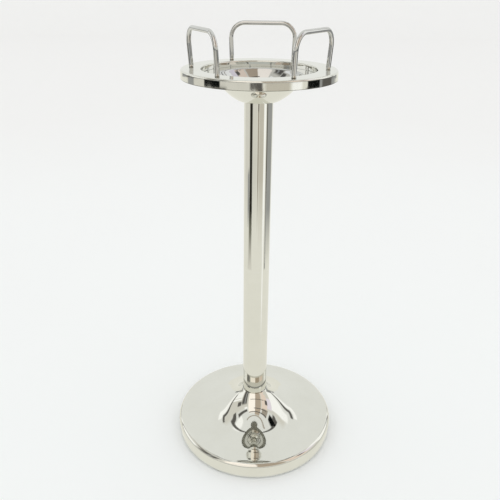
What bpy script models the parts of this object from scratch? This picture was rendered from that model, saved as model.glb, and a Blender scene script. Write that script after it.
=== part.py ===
"""Champagne bucket stand: a weighted round foot, one upright tube and a ring tray with three guards.

Metres, +Z up. The origin is on the floor, on the axis of the post.
"""
import math

import bmesh
import bpy
from mathutils import Vector

# Clearance between neighbouring pieces
GAP = 0.0003

# Foot: spun cover
COVER_RADIUS = 0.1267
COVER_SHEET = 0.0012
COVER_BOTTOM_Z = 0.0010
RIM_STRAIGHT_TOP_Z = 0.0178
RIM_EDGE_RADIUS = 0.0084
CRIMP_WIDTH = 0.0050

# Slope of the cover's top, in degrees below level, from the neck out to the rounded edge
NECK_SLOPE_DEG = 60.0
NECK_POWER = 2.3
SHOULDER_RADIUS = 0.0625
SHOULDER_SLOPE_DEG = 25.0
SKIRT_RADIUS = 0.0955
SKIRT_SLOPE_DEG = 13.4
LEVEL_RADIUS = 0.1040
LEVEL_SLOPE_DEG = 6.5
CROWN_RADIUS = 0.1120
EDGE_SLOPE_DEG = 14.0

# Foot: ballast, closing plate and floor ring
WEIGHT_RADIUS = 0.1215
WEIGHT_THICKNESS = 0.0110
WEIGHT_CHAMFER = 0.0020
HUB_RADIUS = 0.0300
HUB_HEIGHT = 0.0250
HUB_TOP_CHAMFER_WIDTH = 0.0080
HUB_TOP_CHAMFER_HEIGHT = 0.0150
HUB_FILLET_WIDTH = 0.0120
NUT_RECESS_RADIUS = 0.0165
NUT_RECESS_DEPTH = 0.0150
PLATE_THICKNESS = 0.0015
PLATE_RADIUS = 0.1245
PLATE_HOLE_RADIUS = 0.0180
PAD_INNER_RADIUS = 0.0900
PAD_OUTER_RADIUS = 0.1180
PAD_THICKNESS = 0.0022

# Post
POST_RADIUS = 0.01905
POST_WALL = 0.0012
SPIGOT_LENGTH = 0.0220
SPIGOT_SHOULDER = 0.0030
SPIGOT_LEAD_IN_WIDTH = 0.0010
SPIGOT_LEAD_IN_HEIGHT = 0.0020

# Ring tray
FLANGE_Z = 0.5818
RING_RADIUS = 0.1000
RING_SHEET = 0.0012
RING_EDGE_RADIUS = 0.0022
SKIRT_HEIGHT = 0.0115
MOUTH_RADIUS = 0.0740
MOUTH_EDGE_RADIUS = 0.0018
MOUTH_WALL_HEIGHT = 0.0069

# Drip bowl
BOWL_SHEET = 0.0010
BOWL_LIP_RADIUS = 0.0935
BOWL_LEDGE_DEPTH = 0.0075
BOWL_SPHERE_RADIUS = 0.0610
BOWL_SPHERE_RISE = 0.0150
BOWL_DEPTH = 0.0400
BOWL_CORNER_RADIUS = 0.0025
BUCKET_SEAT_RADIUS = 0.0734
BUCKET_SEAT_RELIEF = 0.0004

# Guards
GUARD_COUNT = 3
GUARD_FIRST_DEG = 86.4
GUARD_HALF_DEG = 29.5
GUARD_CIRCLE_RADIUS = 0.0870
GUARD_HEIGHT = 0.0480
GUARD_LEAN_DEG = 4.0
GUARD_BEND_RADIUS = 0.0190
GUARD_ROD_RADIUS = 0.0030
GUARD_STRAIGHT_FOOT = 0.0025
GUARD_STUD_RADIUS = 0.0025
GUARD_STUD_HOLE_RADIUS = 0.0029
GUARD_DRILL_DEPTH = 0.0080
GUARD_WASHER_RADIUS = 0.0050
GUARD_WASHER_THICKNESS = 0.0010
GUARD_NUT_FLATS = 0.0080
GUARD_NUT_HEIGHT = 0.0040
GUARD_STUD_PROUD = 0.0008

# Tie rod and its fasteners (M8)
ROD_RADIUS = 0.0040
ROD_HOLE_RADIUS = 0.0045
ROD_NUT_FLATS = 0.0130
ROD_NUT_HEIGHT = 0.0065
ROD_WASHER_RADIUS = 0.0120
ROD_WASHER_THICKNESS = 0.0016
SPRING_WASHER_RADIUS = 0.0071
SPRING_WASHER_THICKNESS = 0.0018
CAP_NUT_SIDE_HEIGHT = 0.0060
CAP_NUT_HEIGHT = 0.0120
CAP_NUT_BORE_DEPTH = 0.0090
ROD_END_PROUD = 0.0015
THREAD_END_CHAMFER = 0.0006
SPRING_WASHER_SLOT_DEG = 14.0

# Facets round each kind of piece, and points along the curved outlines
LARGE_STEPS = 60
MEDIUM_STEPS = 40
SMALL_STEPS = 16
ROD_SIDES = 12
FLARE_POINTS = 14
FLARE_SPACING_POWER = 1.35
SLOPE_STEP = 0.0005
BEND_POINTS = 6
BALL_POINTS = 6
EDGE_POINTS = 4
SMALL_EDGE_POINTS = 3
SMOOTH_ANGLE = math.radians(32)


# ---------------------------------------------------------------- helpers

def clear_scene():
    for obj in list(bpy.data.objects):
        bpy.data.objects.remove(obj, do_unlink=True)


def make_material(name, colour, roughness, metallic):
    material = bpy.data.materials.new(name)
    material.use_nodes = True
    shader = material.node_tree.nodes["Principled BSDF"]
    shader.inputs["Base Color"].default_value = (*colour, 1.0)
    shader.inputs["Roughness"].default_value = roughness
    shader.inputs["Metallic"].default_value = metallic
    return material


def add_object(name, mesh, material):
    obj = bpy.data.objects.new(name, mesh)
    bpy.context.scene.collection.objects.link(obj)
    if not mesh.materials:
        mesh.materials.append(material)
    return obj


def finish_mesh(name, bm):
    """Weld, turn the faces outwards, shade smooth and return the mesh."""
    bmesh.ops.remove_doubles(bm, verts=bm.verts, dist=1e-7)
    bmesh.ops.recalc_face_normals(bm, faces=bm.faces)
    mesh = bpy.data.meshes.new(name)
    bm.to_mesh(mesh)
    bm.free()
    mesh.shade_smooth()
    mesh.set_sharp_from_angle(angle=SMOOTH_ANGLE)
    return mesh


def turned_mesh(name, outline, steps):
    """Spin a closed outline of (radius, height) points round the Z axis."""
    bm = bmesh.new()
    ring = [bm.verts.new((radius, 0.0, height)) for radius, height in outline]
    edges = [bm.edges.new((ring[i - 1], ring[i])) for i in range(len(ring))]
    bmesh.ops.spin(bm, geom=ring + edges, cent=(0, 0, 0), axis=(0, 0, 1),
                   angle=2 * math.pi, steps=steps, use_merge=True)
    return finish_mesh(name, bm)


def turned_solid_mesh(name, outline, steps):
    """Spin an open outline that starts and ends on the Z axis."""
    bm = bmesh.new()
    line = [bm.verts.new((radius, 0.0, height)) for radius, height in outline]
    edges = [bm.edges.new((line[i], line[i + 1])) for i in range(len(line) - 1)]
    bmesh.ops.spin(bm, geom=line + edges, cent=(0, 0, 0), axis=(0, 0, 1),
                   angle=2 * math.pi, steps=steps, use_merge=True)
    return finish_mesh(name, bm)


def arc(centre_r, centre_z, radius, start_deg, end_deg, count):
    """Points of a round stretch in the (radius, height) plane."""
    points = []
    for i in range(count + 1):
        angle = math.radians(start_deg + (end_deg - start_deg) * i / count)
        points.append((centre_r + radius * math.cos(angle), centre_z + radius * math.sin(angle)))
    return points


def offset_line(points, distance):
    """The line shifted to its right-hand side by distance, point by point."""
    shifted = []
    for i, (radius, height) in enumerate(points):
        before = points[max(i - 1, 0)]
        after = points[min(i + 1, len(points) - 1)]
        along = Vector((after[0] - before[0], after[1] - before[1])).normalized()
        shifted.append((radius + along.y * distance, height - along.x * distance))
    return shifted


def ring_outline(inner, outer, bottom, top):
    return [(inner, top), (outer, top), (outer, bottom), (inner, bottom)]


def hex_nut_mesh(name, flats, height, bore):
    """A hexagonal nut round the Z axis, standing on z = 0."""
    corner = flats / 2 / math.cos(math.radians(30))
    count = ROD_SIDES
    bm = bmesh.new()
    loops = []
    for z in (0.0, height):
        hexagon = []
        hole = []
        for i in range(count):
            angle = 2 * math.pi * i / count
            across = math.fmod(angle, math.pi / 3) - math.pi / 6
            reach = corner * math.cos(math.pi / 6) / math.cos(across)
            hexagon.append(bm.verts.new((reach * math.cos(angle), reach * math.sin(angle), z)))
            hole.append(bm.verts.new((bore * math.cos(angle), bore * math.sin(angle), z)))
        loops.append((hexagon, hole))
    for i in range(count):
        j = (i + 1) % count
        (hex_low, hole_low), (hex_high, hole_high) = loops
        bm.faces.new((hex_low[i], hex_low[j], hex_high[j], hex_high[i]))
        bm.faces.new((hole_low[j], hole_low[i], hole_high[i], hole_high[j]))
        bm.faces.new((hex_high[i], hex_high[j], hole_high[j], hole_high[i]))
        bm.faces.new((hex_low[j], hex_low[i], hole_low[i], hole_low[j]))
    return finish_mesh(name, bm)


# ---------------------------------------------------------------- foot

def ramp(value, low, high):
    """0 up to low, 1 from high on, a straight climb in between."""
    return min(max((value - low) / (high - low), 0.0), 1.0)


def neck_radius():
    return POST_RADIUS + GAP + COVER_SHEET


def edge_start():
    """Radius at which the top surface runs into the rounded edge of the rim."""
    return COVER_RADIUS - RIM_EDGE_RADIUS * (1 - math.sin(math.radians(EDGE_SLOPE_DEG)))


def cover_slope(radius):
    """Steep at the neck, a long even shoulder, nearly level near the rim, then crowned."""
    collar = 1 - ramp(radius, neck_radius(), SHOULDER_RADIUS)
    slope = SHOULDER_SLOPE_DEG + (NECK_SLOPE_DEG - SHOULDER_SLOPE_DEG) * collar ** NECK_POWER
    slope += (SKIRT_SLOPE_DEG - SHOULDER_SLOPE_DEG) * ramp(radius, SHOULDER_RADIUS, SKIRT_RADIUS)
    slope += (LEVEL_SLOPE_DEG - SKIRT_SLOPE_DEG) * ramp(radius, SKIRT_RADIUS, LEVEL_RADIUS)
    slope += (EDGE_SLOPE_DEG - LEVEL_SLOPE_DEG) * ramp(radius, CROWN_RADIUS, edge_start())
    return slope


def cover_height(radius):
    """Height of the top surface, summed inwards from the rounded edge in small steps."""
    height = RIM_STRAIGHT_TOP_Z + RIM_EDGE_RADIUS * math.cos(math.radians(EDGE_SLOPE_DEG))
    count = max(1, math.ceil((edge_start() - radius) / SLOPE_STEP))
    step = (edge_start() - radius) / count
    for i in range(count):
        height += step * math.tan(math.radians(cover_slope(radius + (i + 0.5) * step)))
    return height


def cover_outside():
    """Outer surface of the cover, from the neck down and out to the foot of the rim."""
    flare = []
    for i in range(FLARE_POINTS + 1):
        fraction = (i / FLARE_POINTS) ** FLARE_SPACING_POWER
        radius = neck_radius() + (edge_start() - neck_radius()) * fraction
        flare.append((radius, cover_height(radius)))
    edge = arc(COVER_RADIUS - RIM_EDGE_RADIUS, RIM_STRAIGHT_TOP_Z, RIM_EDGE_RADIUS,
               90 - EDGE_SLOPE_DEG, 0, EDGE_POINTS)
    foot = (COVER_RADIUS, COVER_BOTTOM_Z)
    return flare + edge[1:] + [foot]


def base_cover(material):
    outside = cover_outside()
    inside = offset_line(outside, COVER_SHEET)
    inside[0] = (POST_RADIUS + GAP, outside[0][1])
    inside[-1] = (COVER_RADIUS - COVER_SHEET, COVER_BOTTOM_Z + COVER_SHEET)
    crimp = COVER_RADIUS - CRIMP_WIDTH
    crimp_points = [(crimp, COVER_BOTTOM_Z), (crimp, COVER_BOTTOM_Z + COVER_SHEET)]
    outline = outside + crimp_points + inside[::-1]
    add_object("base_cover", turned_mesh("base_cover", outline, LARGE_STEPS), material)


def plate_bottom():
    return COVER_BOTTOM_Z + COVER_SHEET + GAP


def weight_bottom():
    return plate_bottom() + PLATE_THICKNESS + GAP


def hub_top():
    return weight_bottom() + WEIGHT_THICKNESS + HUB_HEIGHT


def base_weight(material):
    low = weight_bottom()
    high = low + WEIGHT_THICKNESS
    recess = low + NUT_RECESS_DEPTH
    outline = [
        (ROD_HOLE_RADIUS, hub_top()),
        (HUB_RADIUS - HUB_TOP_CHAMFER_WIDTH, hub_top()),
        (HUB_RADIUS, hub_top() - HUB_TOP_CHAMFER_HEIGHT),
        (HUB_RADIUS + HUB_FILLET_WIDTH, high),
        (WEIGHT_RADIUS - WEIGHT_CHAMFER, high),
        (WEIGHT_RADIUS, high - WEIGHT_CHAMFER),
        (WEIGHT_RADIUS, low),
        (NUT_RECESS_RADIUS, low),
        (NUT_RECESS_RADIUS, recess),
        (ROD_HOLE_RADIUS, recess),
    ]
    add_object("base_weight", turned_mesh("base_weight", outline, MEDIUM_STEPS), material)


def base_plate(material):
    low = plate_bottom()
    outline = ring_outline(PLATE_HOLE_RADIUS, PLATE_RADIUS, low, low + PLATE_THICKNESS)
    add_object("base_plate", turned_mesh("base_plate", outline, MEDIUM_STEPS), material)


def floor_pad(material):
    outline = ring_outline(PAD_INNER_RADIUS, PAD_OUTER_RADIUS, 0.0, PAD_THICKNESS)
    add_object("floor_pad", turned_mesh("floor_pad", outline, MEDIUM_STEPS), material)


# ---------------------------------------------------------------- post

def post_bottom():
    return hub_top() + SPIGOT_SHOULDER + 2 * GAP


def bowl_underside():
    return FLANGE_Z - BOWL_DEPTH


def post_top():
    return bowl_underside() - GAP


def post_tube(material):
    outline = ring_outline(POST_RADIUS - POST_WALL, POST_RADIUS, post_bottom(), post_top())
    add_object("post_tube", turned_mesh("post_tube", outline, MEDIUM_STEPS), material)


def lower_spigot(material):
    """Turned insert: its shoulder stands on the hub and its nose fits inside the tube."""
    low = hub_top() + GAP
    shoulder = low + SPIGOT_SHOULDER
    nose = POST_RADIUS - POST_WALL - GAP
    outline = [
        (ROD_HOLE_RADIUS, shoulder + SPIGOT_LENGTH),
        (nose - SPIGOT_LEAD_IN_WIDTH, shoulder + SPIGOT_LENGTH),
        (nose, shoulder + SPIGOT_LENGTH - SPIGOT_LEAD_IN_HEIGHT),
        (nose, shoulder),
        (POST_RADIUS, shoulder),
        (POST_RADIUS, low),
        (ROD_HOLE_RADIUS, low),
    ]
    add_object("lower_spigot", turned_mesh("lower_spigot", outline, MEDIUM_STEPS), material)


def upper_spigot(material):
    high = post_top()
    low = high - SPIGOT_LENGTH
    nose = POST_RADIUS - POST_WALL - GAP
    outline = [
        (ROD_HOLE_RADIUS, high),
        (nose, high),
        (nose, low + SPIGOT_LEAD_IN_HEIGHT),
        (nose - SPIGOT_LEAD_IN_WIDTH, low),
        (ROD_HOLE_RADIUS, low),
    ]
    add_object("upper_spigot", turned_mesh("upper_spigot", outline, MEDIUM_STEPS), material)


# ---------------------------------------------------------------- ring tray and bowl

def guard_azimuths():
    """(centre, first leg, second leg) of each guard, in radians."""
    spread = math.radians(GUARD_HALF_DEG)
    centres = [math.radians(GUARD_FIRST_DEG + 360 * i / GUARD_COUNT) for i in range(GUARD_COUNT)]
    return [(centre, centre - spread, centre + spread) for centre in centres]


def leg_points():
    """(x, y) of the six guard feet."""
    points = []
    for _, first, second in guard_azimuths():
        for angle in (first, second):
            points.append((GUARD_CIRCLE_RADIUS * math.cos(angle), GUARD_CIRCLE_RADIUS * math.sin(angle)))
    return points


def drill_cutter(name):
    """Six drill bodies through the flange and the bowl's lip, hidden from the model."""
    bm = bmesh.new()
    for x, y in leg_points():
        made = bmesh.ops.create_cone(bm, cap_ends=True, segments=SMALL_STEPS, depth=GUARD_DRILL_DEPTH,
                                     radius1=GUARD_STUD_HOLE_RADIUS, radius2=GUARD_STUD_HOLE_RADIUS)
        bmesh.ops.translate(bm, verts=made["verts"], vec=(x, y, FLANGE_Z - RING_SHEET))
    mesh = bpy.data.meshes.new(name)
    bm.to_mesh(mesh)
    bm.free()
    cutter = bpy.data.objects.new(name, mesh)
    bpy.context.scene.collection.objects.link(cutter)
    cutter.hide_render = True
    cutter.display_type = "WIRE"
    return cutter


def drill(obj, cutter):
    cut = obj.modifiers.new("guard_holes", "BOOLEAN")
    cut.operation = "DIFFERENCE"
    cut.solver = "EXACT"
    cut.object = cutter


def tray_ring(material, cutter):
    """Annular channel: outer skirt, flat flange and a short turned-down inner wall."""
    skirt_end = (RING_RADIUS, FLANGE_Z - SKIRT_HEIGHT)
    outer = arc(RING_RADIUS - RING_EDGE_RADIUS, FLANGE_Z - RING_EDGE_RADIUS, RING_EDGE_RADIUS,
                0, 90, SMALL_EDGE_POINTS)
    inner = arc(MOUTH_RADIUS + MOUTH_EDGE_RADIUS, FLANGE_Z - MOUTH_EDGE_RADIUS, MOUTH_EDGE_RADIUS,
                90, 180, SMALL_EDGE_POINTS)
    wall_end = (MOUTH_RADIUS, FLANGE_Z - MOUTH_WALL_HEIGHT)
    outside = [skirt_end] + outer + inner + [wall_end]
    inside = offset_line(outside, -RING_SHEET)
    inside[0] = (RING_RADIUS - RING_SHEET, skirt_end[1])
    inside[-1] = (MOUTH_RADIUS + RING_SHEET, wall_end[1])
    outline = outside[::-1] + inside
    obj = add_object("tray_ring", turned_mesh("tray_ring", outline, LARGE_STEPS), material)
    drill(obj, cutter)


def bowl_inside():
    """Upper surface of the bowl from the edge of its lip to the rod hole."""
    lip_z = FLANGE_Z - RING_SHEET - GAP
    wall = MOUTH_RADIUS + RING_SHEET + GAP
    ledge_z = FLANGE_Z - BOWL_LEDGE_DEPTH
    ball = BOWL_SPHERE_RADIUS - BOWL_SHEET
    centre_z = FLANGE_Z + BOWL_SPHERE_RISE
    floor_z = bowl_underside() + BOWL_SHEET
    start_sine = (centre_z - (ledge_z - BOWL_CORNER_RADIUS)) / ball
    end_sine = (centre_z - floor_z) / ball
    start = -math.degrees(math.asin(start_sine))
    end = -math.degrees(math.asin(end_sine))
    sphere = arc(0.0, centre_z, ball, start, end, BALL_POINTS)
    corner_r = sphere[0][0] + BOWL_CORNER_RADIUS
    corner = arc(corner_r, ledge_z - BOWL_CORNER_RADIUS, BOWL_CORNER_RADIUS, 90, 150, 2)
    return [
        (BOWL_LIP_RADIUS, lip_z),
        (wall, lip_z),
        (wall, ledge_z - BUCKET_SEAT_RELIEF),
        (BUCKET_SEAT_RADIUS, ledge_z),
    ] + corner + sphere[1:] + [(ROD_HOLE_RADIUS, floor_z)]


def drip_bowl(material, cutter):
    inside = bowl_inside()
    outside = offset_line(inside, -BOWL_SHEET)
    lip_z, ledge_z = inside[0][1], inside[3][1]
    wall = inside[1][0] + BOWL_SHEET
    outside[0] = (BOWL_LIP_RADIUS, lip_z - BOWL_SHEET)
    outside[1] = (wall, lip_z - BOWL_SHEET)
    outside[2] = (wall, inside[2][1] - BOWL_SHEET)
    outside[3] = (BUCKET_SEAT_RADIUS, ledge_z - BOWL_SHEET)
    outside[-1] = (ROD_HOLE_RADIUS, bowl_underside())
    outline = inside + outside[::-1]
    obj = add_object("drip_bowl", turned_mesh("drip_bowl", outline, LARGE_STEPS), material)
    drill(obj, cutter)


# ---------------------------------------------------------------- guards

def bend(before, corner, after, radius, count):
    """A round bend of the given radius where two straight runs meet at a corner."""
    back = (before - corner).normalized()
    ahead = (after - corner).normalized()
    half = back.angle(ahead) / 2
    centre = corner + (back + ahead).normalized() * (radius / math.sin(half))
    start = corner + back * (radius / math.tan(half)) - centre
    end = corner + ahead * (radius / math.tan(half)) - centre
    sweep = start.angle(end)
    side = (end - start * math.cos(sweep)) / math.sin(sweep)
    return [centre + start * math.cos(sweep * i / count) + side * math.sin(sweep * i / count)
            for i in range(count + 1)]


def leg_line(angle):
    """Foot, end of the upright stretch and unrounded top corner of one leg."""
    outward = Vector((math.cos(angle), math.sin(angle), 0.0))
    foot = outward * GUARD_CIRCLE_RADIUS + Vector((0, 0, FLANGE_Z + GAP))
    knee = foot + Vector((0, 0, GUARD_STRAIGHT_FOOT))
    rise = GUARD_HEIGHT - GAP - GUARD_STRAIGHT_FOOT
    top = knee + outward * (rise * math.tan(math.radians(GUARD_LEAN_DEG))) + Vector((0, 0, rise))
    return foot, knee, top


def guard_path(first, second):
    """Centre line of the rod between its two feet."""
    foot_a, knee_a, top_a = leg_line(first)
    foot_b, knee_b, top_b = leg_line(second)
    rising = bend(knee_a, top_a, top_b, GUARD_BEND_RADIUS, BEND_POINTS)
    falling = bend(top_a, top_b, knee_b, GUARD_BEND_RADIUS, BEND_POINTS)
    return [foot_a, knee_a] + rising + falling + [knee_b, foot_b]


def stud_bottom():
    lip_underside = FLANGE_Z - RING_SHEET - GAP - BOWL_SHEET
    stack = GUARD_WASHER_THICKNESS + GUARD_NUT_HEIGHT + 2 * GAP
    return lip_underside - stack - GUARD_STUD_PROUD


def guard_mesh(name, centre, first, second):
    """One bent rod with a thinner threaded stud at each foot."""
    path = guard_path(first, second)
    down = Vector((0, 0, stud_bottom() - FLANGE_Z - GAP))
    stations = [(path[0] + down, GUARD_STUD_RADIUS), (path[0], GUARD_STUD_RADIUS)]
    stations += [(point, GUARD_ROD_RADIUS) for point in path]
    stations += [(path[-1], GUARD_STUD_RADIUS), (path[-1] + down, GUARD_STUD_RADIUS)]
    outward = Vector((math.cos(centre), math.sin(centre), 0.0))
    bm = bmesh.new()
    rings = []
    last = len(stations) - 1
    for i, (point, radius) in enumerate(stations):
        along = stations[min(i + 1, last)][0] - stations[max(i - 1, 0)][0]
        if i <= 2:
            along = Vector((0, 0, 1))
        if i >= last - 2:
            along = Vector((0, 0, -1))
        across = along.cross(outward).normalized()
        normal = across.cross(along).normalized()
        ring = []
        for k in range(ROD_SIDES):
            angle = 2 * math.pi * k / ROD_SIDES
            ring.append(bm.verts.new(point + radius * (normal * math.cos(angle) + across * math.sin(angle))))
        rings.append(ring)
    for i in range(last):
        for k in range(ROD_SIDES):
            j = (k + 1) % ROD_SIDES
            bm.faces.new((rings[i][k], rings[i][j], rings[i + 1][j], rings[i + 1][k]))
    bm.faces.new(rings[0])
    bm.faces.new(rings[-1])
    return finish_mesh(name, bm)


def guards(material):
    for name, (centre, first, second) in zip(("guard_back", "guard_left", "guard_right"), guard_azimuths()):
        add_object(name, guard_mesh(name, centre, first, second), material)


def guard_fasteners(material):
    """A washer and a nut on each of the six studs, sharing one mesh each."""
    washer_z = FLANGE_Z - RING_SHEET - BOWL_SHEET - 2 * GAP - GUARD_WASHER_THICKNESS
    nut_z = washer_z - GAP - GUARD_NUT_HEIGHT
    bore = GUARD_STUD_RADIUS + GAP
    outline = ring_outline(bore, GUARD_WASHER_RADIUS, 0.0, GUARD_WASHER_THICKNESS)
    washer = turned_mesh("guard_washer", outline, SMALL_STEPS)
    nut = hex_nut_mesh("guard_nut", GUARD_NUT_FLATS, GUARD_NUT_HEIGHT, bore)
    for number, (x, y) in enumerate(leg_points(), start=1):
        add_object(f"guard_washer_{number}", washer, material).location = (x, y, washer_z)
        fitted = add_object(f"guard_nut_{number}", nut, material)
        fitted.location = (x, y, nut_z)
        fitted.rotation_euler.z = math.atan2(y, x)


# ---------------------------------------------------------------- tie rod

def recess_top():
    return weight_bottom() + NUT_RECESS_DEPTH


def foot_stack():
    """Undersides of the washer, the spring washer and the nut in the ballast's recess."""
    washer_z = recess_top() - GAP - ROD_WASHER_THICKNESS
    spring_z = washer_z - GAP - SPRING_WASHER_THICKNESS
    nut_z = spring_z - GAP - ROD_NUT_HEIGHT
    return washer_z, spring_z, nut_z


def cap_stack():
    """Undersides of the washer and the cap nut in the bottom of the bowl."""
    washer_z = bowl_underside() + BOWL_SHEET + GAP
    return washer_z, washer_z + ROD_WASHER_THICKNESS + GAP


def tie_rod(material):
    low = foot_stack()[2] - ROD_END_PROUD
    high = cap_stack()[1] + CAP_NUT_BORE_DEPTH - 2 * GAP
    tip = ROD_RADIUS - THREAD_END_CHAMFER
    outline = [
        (0.0, high),
        (tip, high),
        (ROD_RADIUS, high - THREAD_END_CHAMFER),
        (ROD_RADIUS, low + THREAD_END_CHAMFER),
        (tip, low),
        (0.0, low),
    ]
    add_object("tie_rod", turned_solid_mesh("tie_rod", outline, SMALL_STEPS), material)


def spring_washer_mesh():
    """A split ring whose two ends stand apart."""
    bm = bmesh.new()
    slot = math.radians(SPRING_WASHER_SLOT_DEG)
    inner = ROD_RADIUS + GAP
    rings = []
    for i in range(SMALL_STEPS + 1):
        angle = slot / 2 + (2 * math.pi - slot) * i / SMALL_STEPS
        corners = ((inner, 0.0), (SPRING_WASHER_RADIUS, 0.0),
                   (SPRING_WASHER_RADIUS, SPRING_WASHER_THICKNESS), (inner, SPRING_WASHER_THICKNESS))
        rings.append([bm.verts.new((r * math.cos(angle), r * math.sin(angle), z)) for r, z in corners])
    for i in range(SMALL_STEPS):
        for k in range(4):
            j = (k + 1) % 4
            bm.faces.new((rings[i][k], rings[i][j], rings[i + 1][j], rings[i + 1][k]))
    bm.faces.new(rings[0])
    bm.faces.new(rings[-1])
    return finish_mesh("foot_spring_washer", bm)


def foot_fasteners(material):
    washer_z, spring_z, nut_z = foot_stack()
    bore = ROD_RADIUS + GAP
    outline = ring_outline(bore, ROD_WASHER_RADIUS, 0.0, ROD_WASHER_THICKNESS)
    washer = turned_mesh("foot_washer", outline, SMALL_STEPS)
    nut = hex_nut_mesh("foot_nut", ROD_NUT_FLATS, ROD_NUT_HEIGHT, bore)
    add_object("foot_washer", washer, material).location.z = washer_z
    add_object("foot_spring_washer", spring_washer_mesh(), material).location.z = spring_z
    add_object("foot_nut", nut, material).location.z = nut_z
    add_object("cap_washer", washer, material).location.z = cap_stack()[0]


def cap_nut(material):
    """A domed nut that closes the end of the tie rod."""
    bore = ROD_RADIUS + GAP
    rim = ROD_NUT_FLATS / 2
    dome = []
    for x, y in arc(0.0, 0.0, 1.0, 90, 0, EDGE_POINTS):
        dome.append((rim * x, CAP_NUT_SIDE_HEIGHT + (CAP_NUT_HEIGHT - CAP_NUT_SIDE_HEIGHT) * y))
    dome[0] = (0.0, CAP_NUT_HEIGHT)
    outline = dome + [(rim, 0.0), (bore, 0.0), (bore, CAP_NUT_BORE_DEPTH), (0.0, CAP_NUT_BORE_DEPTH)]
    obj = add_object("cap_nut", turned_solid_mesh("cap_nut", outline, SMALL_STEPS), material)
    obj.location.z = cap_stack()[1]


# ---------------------------------------------------------------- build

def build():
    clear_scene()
    chrome = make_material("polished_chrome", (0.80, 0.80, 0.79), 0.04, 1.0)
    iron = make_material("cast_iron", (0.10, 0.10, 0.10), 0.65, 1.0)
    steel = make_material("zinc_steel", (0.55, 0.56, 0.57), 0.30, 1.0)
    plated = make_material("plate_steel", (0.30, 0.30, 0.31), 0.45, 1.0)
    rubber = make_material("black_rubber", (0.02, 0.02, 0.02), 0.80, 0.0)
    turned_steel = make_material("turned_steel", (0.50, 0.50, 0.50), 0.35, 1.0)
    base_cover(chrome)
    base_weight(iron)
    base_plate(plated)
    floor_pad(rubber)
    post_tube(chrome)
    lower_spigot(turned_steel)
    upper_spigot(turned_steel)
    cutter = drill_cutter("guard_drill")
    tray_ring(chrome, cutter)
    drip_bowl(chrome, cutter)
    guards(chrome)
    guard_fasteners(steel)
    tie_rod(steel)
    foot_fasteners(steel)
    cap_nut(chrome)


build()
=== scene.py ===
"""Looks for the champagne bucket stand.

Fine chrome shapes, procedural materials, a pale studio, the room that the chrome mirrors, and the camera.
"""
import math

import bmesh
import bpy
from mathutils import Matrix, Vector


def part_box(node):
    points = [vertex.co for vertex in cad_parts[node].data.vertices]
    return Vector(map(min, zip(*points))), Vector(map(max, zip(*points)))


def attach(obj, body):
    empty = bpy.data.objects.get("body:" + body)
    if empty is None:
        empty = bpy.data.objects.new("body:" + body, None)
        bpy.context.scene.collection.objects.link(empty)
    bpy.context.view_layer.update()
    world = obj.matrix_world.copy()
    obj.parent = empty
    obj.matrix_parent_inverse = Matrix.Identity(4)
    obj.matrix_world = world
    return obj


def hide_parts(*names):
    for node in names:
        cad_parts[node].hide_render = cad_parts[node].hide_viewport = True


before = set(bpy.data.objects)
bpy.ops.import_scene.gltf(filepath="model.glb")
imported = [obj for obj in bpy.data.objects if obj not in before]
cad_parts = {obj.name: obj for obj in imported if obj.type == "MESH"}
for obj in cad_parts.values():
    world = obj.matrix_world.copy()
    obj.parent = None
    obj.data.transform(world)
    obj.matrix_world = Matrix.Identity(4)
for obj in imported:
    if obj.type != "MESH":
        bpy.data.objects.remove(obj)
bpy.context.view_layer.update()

# ---------------------------------------------------------------- sizes, in metres

GAP = 0.0003
COVER_RADIUS = 0.1267
COVER_SHEET = 0.0012
COVER_BOTTOM_Z = 0.0010
RIM_STRAIGHT_TOP_Z = 0.0178
RIM_EDGE_RADIUS = 0.0084
CRIMP_WIDTH = 0.0050
CRIMP_BEND = 0.0012

# slope of the cover's top, in degrees below level
NECK_SLOPE_DEG = 60.0
NECK_POWER = 2.3
SHOULDER_RADIUS = 0.0625
SHOULDER_SLOPE_DEG = 25.0
SKIRT_RADIUS = 0.0955
SKIRT_SLOPE_DEG = 13.4
LEVEL_RADIUS = 0.1040
LEVEL_SLOPE_DEG = 6.5
CROWN_RADIUS = 0.1120
EDGE_SLOPE_DEG = 14.0
NECK_EDGE = 0.0005
NECK_CHAMFER = 0.0002

PAD_INNER_RADIUS = 0.0900
PAD_OUTER_RADIUS = 0.1180
PAD_THICKNESS = 0.0022
PAD_EDGE = 0.0007
PAD_GROOVES = 3
GROOVE_HALF = 0.0011
GROOVE_FLOOR_HALF = 0.00066
GROOVE_DEPTH = 0.0006

POST_RADIUS = 0.01905
POST_WALL = 0.0012
POST_TOP_Z = 0.5415
POST_EDGE = 0.0003

FLANGE_Z = 0.5818
RING_RADIUS = 0.1000
RING_SHEET = 0.0012
RING_EDGE_RADIUS = 0.0022
SKIRT_HEIGHT = 0.0115
MOUTH_RADIUS = 0.0740
MOUTH_EDGE_RADIUS = 0.0018
MOUTH_WALL_HEIGHT = 0.0069
SKIRT_EDGE = 0.0003
SKIRT_CHAMFER = 0.00012

BOWL_SHEET = 0.0010
BOWL_LIP_RADIUS = 0.0935
BOWL_LEDGE_DEPTH = 0.0075
BOWL_SPHERE_RADIUS = 0.0610
BOWL_SPHERE_RISE = 0.0150
BOWL_DEPTH = 0.0400
BOWL_CORNER_RADIUS = 0.0025
BOWL_CORNER_END_DEG = 160.0
BOWL_BORE_CLEARANCE = 0.0005

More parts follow.
